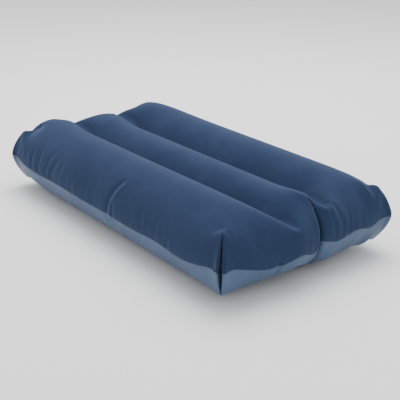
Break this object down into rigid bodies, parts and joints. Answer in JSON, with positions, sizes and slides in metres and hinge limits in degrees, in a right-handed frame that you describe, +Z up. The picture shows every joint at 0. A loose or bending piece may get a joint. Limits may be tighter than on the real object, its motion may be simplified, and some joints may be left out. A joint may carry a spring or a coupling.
{
  "type": "inflatable camp pillow",
  "caption": "Rectangular inflatable pillow with a flocked top, a smooth underside, long air chambers and a push-in air valve at one end.",
  "frame": {"origin": "on the ground under the middle of the pillow", "axes": "+X along the pillow away from the valve's end, +Y across it, +Z up out of the flocked top"},
  "size_m": [0.48, 0.266, 0.1],
  "materials": {
    "flock": "short velour pile on vinyl film, dark blue",
    "film": "smooth flexible vinyl film, dark blue, satin",
    "rib_film": "smooth flexible vinyl film",
    "valve_vinyl": "soft moulded vinyl, milky"
  },
  "bodies": {
    "pillow": {"top_panel": "flock", "bottom_panel": "film", "rib_front": "rib_film", "rib_back": "rib_film", "valve_base": "valve_vinyl", "valve_skirt": "valve_vinyl"},
    "stem": {"valve_stem": "valve_vinyl"},
    "flap": {"valve_flap": "valve_vinyl"},
    "plug": {"valve_plug": "valve_vinyl", "plug_strap": "valve_vinyl"}
  },
  "joints": [
    {"name": "stem_slide", "type": "slide", "parent": "pillow", "child": "stem", "axis": [-0.891, 0, 0.454], "range_m": [0, 0.0125], "deforming": ["valve_skirt"]},
    {"name": "plug_pull", "type": "slide", "parent": "stem", "child": "plug", "axis": [-0.891, 0, 0.454], "range_m": [0, 0.009], "deforming": ["plug_strap"]},
    {"name": "flap_hinge", "type": "hinge", "parent": "stem", "child": "flap", "pos_m": [-0.21446, 0, 0.0688], "axis": [0, -1, 0], "range_deg": [0, 45], "stiffness_Nm_per_rad": 0.0001}
  ]
}
